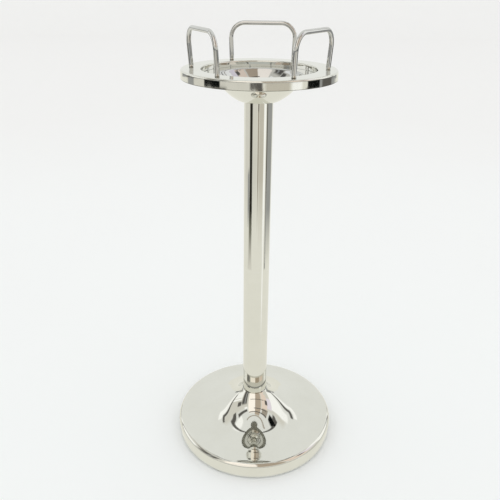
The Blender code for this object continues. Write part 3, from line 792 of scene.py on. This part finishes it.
def fasteners():
    """The six nuts under the flange, each with a corner turned outwards, and the nut in the foot."""
    for number in range(1, 7):
        node = f"guard_nut_{number}"
        low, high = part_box(node)
        centre = [(low[0] + high[0]) / 2, (low[1] + high[1]) / 2, low[2]]
        nut(f"guard_hex_nut_{number}", GUARD_NUT_FLATS, GUARD_NUT_HEIGHT, GUARD_STUD_RADIUS + GAP,
            node, centre, math.atan2(centre[1], centre[0]))
    low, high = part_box("foot_nut")
    nut("foot_hex_nut", TIE_NUT_FLATS, high[2] - low[2], TIE_ROD_RADIUS + GAP,
        "foot_nut", (0.0, 0.0, low[2]), 0.0)


def threaded_run(top_z, turns):
    """Outline down one threaded end of the tie rod: a crest and a root for each turn, and a last crest."""
    run = []
    for i in range(turns):
        z = top_z - i * TIE_ROD_PITCH
        run += [(TIE_ROD_RADIUS, z), (TIE_ROD_RADIUS - TIE_ROD_THREAD_DEPTH, z - TIE_ROD_PITCH / 2)]
    return run + [(TIE_ROD_RADIUS, top_z - turns * TIE_ROD_PITCH)]


def tie_rod():
    """Long rod with threads over its two ends."""
    low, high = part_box("tie_rod")
    low_z, high_z = low[2], high[2]
    turns = int(TIE_ROD_THREADED / TIE_ROD_PITCH)
    upper = threaded_run(high_z - TIE_ROD_CHAMFER, turns)
    lower = threaded_run(low_z + TIE_ROD_CHAMFER + turns * TIE_ROD_PITCH, turns)
    tip = TIE_ROD_RADIUS - TIE_ROD_CHAMFER
    outline = [(0.0, high_z), (tip, high_z)] + upper + lower + [(tip, low_z), (0.0, low_z)]
    lathe_piece("tie_rod_threaded", outline, TIE_ROD_STEPS, ZINC, ["tie_rod"], closed=False)


def cap_nut():
    """Domed hexagonal nut: six flats with a turned shoulder under a polished dome."""
    low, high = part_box("cap_nut")
    base, top = low[2], high[2]
    bore = TIE_ROD_RADIUS + GAP
    ceiling = base + CAP_BORE_DEPTH
    shoulder = base + CAP_HEXAGON_HEIGHT
    corner = TIE_NUT_FLATS / 2
    rows = [round_row(ceiling, bore), round_row(base, bore), round_row(base, CAP_FACE_RADIUS),
            hexagon_row(base + CAP_CHAMFER, CAP_HALF_FLATS, corner),
            hexagon_row(shoulder - CAP_CHAMFER, CAP_HALF_FLATS, corner),
            round_row(shoulder, CAP_FACE_RADIUS)]
    for i in range(DOME_STEPS):
        angle = math.radians(90 * i / DOME_STEPS)
        height = shoulder + (top - shoulder) * math.sin(angle)
        rows.append(round_row(height, CAP_DOME_RADIUS * math.cos(angle)))
    bm = bmesh.new()
    rings = [[bm.verts.new(point) for point in row] for row in rows]
    skin(bm, rings)
    crown = bm.verts.new((0, 0, top))
    roof = bm.verts.new((0, 0, ceiling))
    for k in range(NUT_SIDES):
        j = (k + 1) % NUT_SIDES
        bm.faces.new((rings[-1][k], rings[-1][j], crown))
        bm.faces.new((rings[0][j], rings[0][k], roof))
    finish_piece("cap_nut_domed", bm, CHROME, ["cap_nut"], NUT_SHARP_DEG)


# ---------------------------------------------------------------- CAD shapes that stay

def paint(node, material):
    for slot in node.material_slots:
        slot.material = material


def cad_shapes():
    """Washers, ballast, closing plate and spigots keep their CAD shape and take a detailed material."""
    for name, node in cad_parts.items():
        if "washer" in name:
            paint(node, ZINC)
    paint(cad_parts["base_weight"], IRON)
    paint(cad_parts["base_plate"], PLATE)
    paint(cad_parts["lower_spigot"], TURNED)
    paint(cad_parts["upper_spigot"], TURNED)


# ---------------------------------------------------------------- the stand

base_cover()
floor_ring()
post()
tray_ring()
drip_bowl()
guards()
fasteners()
tie_rod()
cap_nut()
cad_shapes()


# ---------------------------------------------------------------- studio floor

FLOOR_SIZE = 9.0
SWEEP_RADIUS = 2.0
SWEEP_STEPS = 12
WORLD_COLOUR = (0.985, 1.0, 1.0)
WORLD_STRENGTH = 0.985
# The floor's colour is brighter near the stand and duller far off: a painted pool of light
FLOOR_LIGHT_POOL_COLOUR = (0.960, 0.972, 0.965)
FLOOR_BEYOND_LIGHT_POOL_COLOUR = (0.925, 0.915, 0.905)
FLOOR_NEAR_RADIUS = 0.4
FLOOR_FAR_RADIUS = 3.0
FLOOR_Z = -0.0002


def stage_object(name, mesh):
    """An object that belongs to the studio and not to the stand."""
    obj = bpy.data.objects.new(name, mesh)
    bpy.context.scene.collection.objects.link(obj)
    return obj


def floor():
    """Pale seamless floor that curves up far behind the object, brighter near the stand with a painted
    pool of light.
    """
    sweep_start = FLOOR_SIZE - SWEEP_RADIUS
    sweep = arc(sweep_start, FLOOR_Z + SWEEP_RADIUS, SWEEP_RADIUS, -90, 0, SWEEP_STEPS)
    rows = [(-FLOOR_SIZE, FLOOR_Z)] + sweep + [(FLOOR_SIZE, FLOOR_SIZE)]
    bm = bmesh.new()
    lines = [[bm.verts.new((x, y, z)) for x in (-FLOOR_SIZE, FLOOR_SIZE)] for y, z in rows]
    for low, high in zip(lines, lines[1:]):
        bm.faces.new((low[0], low[1], high[1], high[0]))
    mesh = bpy.data.meshes.new("studio_floor")
    bm.to_mesh(mesh)
    bm.free()
    mesh.shade_smooth()
    material, nodes, links, shader = new_material("studio_floor")
    place = object_coordinates(nodes, links, (1, 1, 1))
    away = nodes.new("ShaderNodeVectorMath")
    away.operation = "LENGTH"
    links.new(place, away.inputs[0])
    # painted pool of light: brighter near the stand, duller further out, with a wandering edge
    cloud = noise(nodes, links, place, 1.4, 2.0)
    light_pool_distance = combine(nodes, links, "ADD", away.outputs["Value"], cloud)
    factor = span(nodes, links, light_pool_distance, FLOOR_NEAR_RADIUS, FLOOR_FAR_RADIUS, 0.0, 1.0)
    links.new(two_tone(nodes, links, factor, FLOOR_LIGHT_POOL_COLOUR, FLOOR_BEYOND_LIGHT_POOL_COLOUR), shader.inputs["Base Color"])
    shader.inputs["Roughness"].default_value = 0.95
    shader.inputs["Specular IOR Level"].default_value = 0.0
    mesh.materials.append(material)
    stage_object("studio_floor", mesh)


# ---------------------------------------------------------------- surroundings that the chrome mirrors

WALL_RADIUS = 5.0
WALL_FOOT_Z = 0.05
DOME_RADIUS = 5.6
CARD_LAYER_GAP = 0.02
CARD_STEP_DEG = 5.0
MAT_INNER_RADIUS = 0.57
MAT_FAR_RADIUS = 3.78
MAT_HEIGHT = 0.0008
MAT_LAYER_GAP = 0.0004
MAT_STEP = 0.5
MAT_OUTER_FADE = 0.1
MAT_FADE_CLEARANCE = 1.2


def glow(name, colour):
    """Even light from a sheet, thinning to clear where the mesh's fade runs out."""
    material = bpy.data.materials.new(name)
    material.use_nodes = True
    nodes, links = material.node_tree.nodes, material.node_tree.links
    nodes.clear()
    emission = nodes.new("ShaderNodeEmission")
    emission.inputs["Color"].default_value = (*colour, 1.0)
    clear = nodes.new("ShaderNodeBsdfTransparent")
    fade = nodes.new("ShaderNodeAttribute")
    fade.attribute_name = "fade"
    mix = nodes.new("ShaderNodeMixShader")
    links.new(fade.outputs["Fac"], mix.inputs["Fac"])
    links.new(clear.outputs["BSDF"], mix.inputs[1])
    links.new(emission.outputs["Emission"], mix.inputs[2])
    output = nodes.new("ShaderNodeOutputMaterial")
    links.new(mix.outputs["Shader"], output.inputs["Surface"])
    return material


def only_mirrored(obj):
    """Seen in reflections, but not by the camera, and it lights and shades nothing."""
    obj.visible_camera = False
    obj.visible_diffuse = False
    obj.visible_shadow = False
    obj.visible_transmission = False
    obj.visible_volume_scatter = False


def linear(red, green, blue):
    """8-bit display values to linear light."""
    return tuple(((c / 255 + 0.055) / 1.055) ** 2.4 for c in (red, green, blue))


def mirrored(red, green, blue):
    """Light whose image in the chrome shows the given display colour."""
    return tuple(light / tint for light, tint in zip(linear(red, green, blue), CHROME_TINT))


def stations(low, high, feather, step):
    """Values from low to high, with one extra value a feather in from each end."""
    inner_low, inner_high = low + feather, high - feather
    count = max(1, math.ceil((inner_high - inner_low) / step))
    inner = [inner_low + (inner_high - inner_low) * i / count for i in range(count + 1)]
    return [low] + inner + [high] if feather > 0 else inner


def patch(name, colour, columns, rows, place):
    """A glowing sheet over a grid of stations, which fades out at its feathered border."""
    bm = bmesh.new()
    fade = bm.verts.layers.float.new("fade")
    (across, across_feather), (upward, up_feather) = columns, rows
    grid = []
    for k, v in enumerate(upward):
        line = []
        for i, u in enumerate(across):
            vert = bm.verts.new(place(u, v))
            edge_u = across_feather > 0 and i in (0, len(across) - 1)
            edge_v = up_feather > 0 and k in (0, len(upward) - 1)
            vert[fade] = 0.0 if edge_u or edge_v else 1.0
            line.append(vert)
        grid.append(line)
    for low, high in zip(grid, grid[1:]):
        for i in range(len(across) - 1):
            bm.faces.new((low[i], low[i + 1], high[i + 1], high[i]))
    mesh = bpy.data.meshes.new(name)
    bm.to_mesh(mesh)
    bm.free()
    mesh.materials.append(glow(name, colour))
    only_mirrored(stage_object(name, mesh))


def card(name, colour, azimuths, elevations, layer=1, feather=3.0):
    """A sheet on the wall or roof, in degrees: azimuth 0 is towards the front and 90 towards +X."""
    inset = layer * CARD_LAYER_GAP

    def place(azimuth, elevation):
        angle = math.radians(elevation)
        reach = min(WALL_RADIUS / math.cos(angle), DOME_RADIUS) - inset
        level = reach * math.cos(angle)
        turn = math.radians(azimuth)
        return (level * math.sin(turn), -level * math.cos(turn), WALL_FOOT_Z + reach * math.sin(angle))

    patch(name, colour, (stations(*azimuths, feather, CARD_STEP_DEG), feather),
          (stations(*elevations, feather, CARD_STEP_DEG), feather), place)


def mat(name, colour, azimuths, radii, layer=1, feather=4.0, inner_fade=0.0):
    """A sheet just above the floor, between two radii in metres, with azimuths as for a card."""
    height = MAT_HEIGHT + layer * MAT_LAYER_GAP

    def place(azimuth, radius):
        turn = math.radians(azimuth)
        return (radius * math.sin(turn), -radius * math.cos(turn), height)

    inner, outer = radii
    rows = stations(inner, outer, 0.0, MAT_STEP)
    if inner_fade > 0:
        clear_of_fade = [radius for radius in rows if radius > inner + inner_fade * MAT_FADE_CLEARANCE]
        rows = [inner, inner + inner_fade] + clear_of_fade + [outer + MAT_OUTER_FADE]
    patch(name, colour, (stations(*azimuths, feather, CARD_STEP_DEG), feather), (rows, inner_fade), place)


def surroundings():
    """A white tent open at the front, with darker gear and a warm room beyond the opening.

    Where sheets overlap, the one on the higher layer covers the other.
    """
    white = mirrored(244, 244, 236)
    warm_white = mirrored(253, 245, 230)
    plain = mirrored(217, 218, 209)
    near = mirrored(218, 217, 203)
    pale = mirrored(204, 202, 189)
    sand = mirrored(188, 183, 167)
    peach = mirrored(222, 206, 188)
    tan = mirrored(172, 158, 138)
    olive = mirrored(155, 147, 132)
    grey = mirrored(146, 147, 142)
    shade = mirrored(88, 86, 80)
    dark = mirrored(36, 36, 29)
    black = mirrored(12, 14, 13)
    lavender = mirrored(220, 213, 216)

    card("tent_wall", plain, (-180, 180), (-1, 80), 0, 0.0)
    card("tent_roof", plain, (-180, 180), (80, 90), 0, 0.0)
    card("tent_front", pale, (-122, 122), (-1, 62), 1, 6.0)
    card("wall_foot_dark", mirrored(122, 123, 120), (-140, 140), (-1, 4.5), 1, 0.8)
    card("left_panel", white, (-118, -83), (6, 34), 2, 2.0)
    card("left_panel_high", white, (-112, -84), (66, 76), 2, 2.0)
    card("right_panel", white, (96, 124), (4, 54), 2, 2.0)
    card("right_panel_edge", lavender, (60, 98), (26, 56), 2, 2.0)
    card("left_stand", shade, (-82, -48), (10, 50), 3, 6.0)
    card("left_stand_gap", grey, (-66, -58), (12, 46), 4, 2.0)
    card("left_stand_head", shade, (-98, -80), (36, 50), 4, 3.0)
    card("left_stand_light", white, (-64, -46), (55, 61), 4, 1.5)
    card("left_stand_top", shade, (-96, -48), (61, 68), 4, 2.0)
    card("right_stand_head", shade, (66, 81), (33, 49), 4)
    card("front_screen", warm_white, (-42, 6), (18, 74), 4, 3.0)
    card("front_wood", tan, (3, 44), (16, 78), 3, 3.0)
    card("front_cloth", peach, (46, 80), (16, 66), 3, 3.0)
    card("front_cloth_fold", olive, (52, 84), (58, 72), 4, 2.0)
    card("rail_low", shade, (-30, 62), (34.5, 37), 5, 0.8)
    card("rail_middle", shade, (-4, 76), (60.5, 63), 5, 0.8)
    card("rail_high", shade, (-40, 84), (69, 71.5), 5, 0.8)
    card("rail_top", olive, (-70, 90), (77, 79), 5, 0.6)
    card("right_clamp", black, (90, 107), (62, 71), 5, 2.0)
    card("arch_left", shade, (-108, -100), (56, 86), 5, 1.5)
    card("arch_right", shade, (100, 107), (58, 86), 5, 1.5)
    card("right_seam", shade, (126.5, 130.5), (2, 46), 5, 1.0)
    card("right_seam_light", white, (130.5, 135), (-1, 45), 3, 1.0)
    card("left_seam", shade, (-121, -117), (12, 56), 5, 1.0)
    card("left_seam_light", white, (-127, -121), (2, 50), 3, 1.0)

    mat("near_cloth", near, (-180, 180), (0.130, MAT_INNER_RADIUS), -1, 0.0)
    mat("floor_cloth", near, (-180, 180), (MAT_INNER_RADIUS, WALL_RADIUS), 0, 0.0)
    mat("left_cloth", pale, (-128, -6), (0.8, WALL_RADIUS), 1, 6.0, 0.5)
    mat("right_cloth", sand, (6, 46), (0.7, WALL_RADIUS), 1, 5.0, 0.6)
    mat("left_rug", pale, (-86, -44), (0.58, 1.2), 2, 6.0)
    mat("left_bag_front", mirrored(112, 112, 97), (-76, -45), (0.60, 1.1), 3, 7.0, 0.22)
    mat("left_bag", dark, (-73, -44), (0.84, 3.35), 4, 6.0, 0.15)
    mat("left_bag_side", grey, (-92, -70), (0.84, 1.35), 3, 5.0, 0.15)
    mat("centre_leg", olive, (-6, 7), (0.8, 3.35), 2, 3.0, 0.5)
    mat("centre_leg_foot", shade, (-2, 5), (2.5, 3.35), 3, 1.5)
    mat("near_paper", white, (47, 60), (0.24, 0.9), 2, 4.0, 0.2)
    mat("right_paper", white, (44, 64), (0.6, WALL_RADIUS), 2, 4.0, 0.3)
    mat("right_bag", shade, (66, 84), (0.62, 3.4), 4, 6.0, 0.6)
    mat("right_strip", grey, (68, 82), (0.58, 1.4), 4, 3.0)
    mat("right_side", grey, (72, 146), (0.6, WALL_RADIUS), 3, 14.0, 0.4)
    mat("left_shelf", black, (-84, -55), (3.40, WALL_RADIUS), 5, 2.0)
    mat("right_shelf", black, (70, 95), (3.40, WALL_RADIUS), 5, 2.0)
    mat("centre_shelf", shade, (-14, 6), (3.33, 3.75), 5, 3.0)
    mat("right_far_shelf", shade, (98, 126), (3.3, WALL_RADIUS), 5, 3.0)
    mat("left_far_shelf", grey, (-123, -104), (3.3, WALL_RADIUS), 5, 3.0)
    mat("far_floor", mirrored(136, 137, 133), (-150, 150), (MAT_FAR_RADIUS, WALL_RADIUS), 6, 10.0)
    mat("far_left", shade, (-130, -62), (MAT_FAR_RADIUS, WALL_RADIUS), 7, 8.0)
    mat("far_right", shade, (62, 130), (MAT_FAR_RADIUS, WALL_RADIUS), 7, 8.0)
    mat("far_front", plain, (-20, -4), (MAT_FAR_RADIUS, WALL_RADIUS), 7, 4.0)
    mat("far_front_edge", shade, (0, 14), (MAT_FAR_RADIUS, WALL_RADIUS), 7, 4.0)


surroundings()
floor()

world = bpy.data.worlds.new("studio")
bpy.context.scene.world = world
world.use_nodes = True
background = world.node_tree.nodes["Background"]
background.inputs["Color"].default_value = (*WORLD_COLOUR, 1.0)
background.inputs["Strength"].default_value = WORLD_STRENGTH


# ---------------------------------------------------------------- camera

CAMERA_PLACE = Vector((-0.003895, -0.738853, 0.684170))
CAMERA_PITCH = 0.4528
CAMERA_YAW = -0.0079
CAMERA_ROLL = 0.0087
CAMERA_LENS = 40.23
CAMERA_SENSOR = 36.0


def make_camera():
    """Camera in front of the stand, a little higher than its top and looking down at it."""
    forward = Vector((math.sin(CAMERA_YAW) * math.cos(CAMERA_PITCH),
                      math.cos(CAMERA_YAW) * math.cos(CAMERA_PITCH), -math.sin(CAMERA_PITCH)))
    right = Vector((math.cos(CAMERA_YAW), -math.sin(CAMERA_YAW), 0.0))
    up = right.cross(forward)
    rolled_right = right * math.cos(CAMERA_ROLL) + up * math.sin(CAMERA_ROLL)
    rolled_up = up * math.cos(CAMERA_ROLL) - right * math.sin(CAMERA_ROLL)
    data = bpy.data.cameras.new("camera")
    data.sensor_fit = "HORIZONTAL"
    data.sensor_width = CAMERA_SENSOR
    data.lens = CAMERA_LENS
    camera = bpy.data.objects.new("camera", data)
    bpy.context.scene.collection.objects.link(camera)
    turn = Matrix((rolled_right, rolled_up, -forward)).transposed()
    camera.matrix_world = Matrix.Translation(CAMERA_PLACE) @ turn.to_4x4()
    bpy.context.scene.camera = camera


make_camera()
bpy.context.scene.view_settings.view_transform = "Standard"
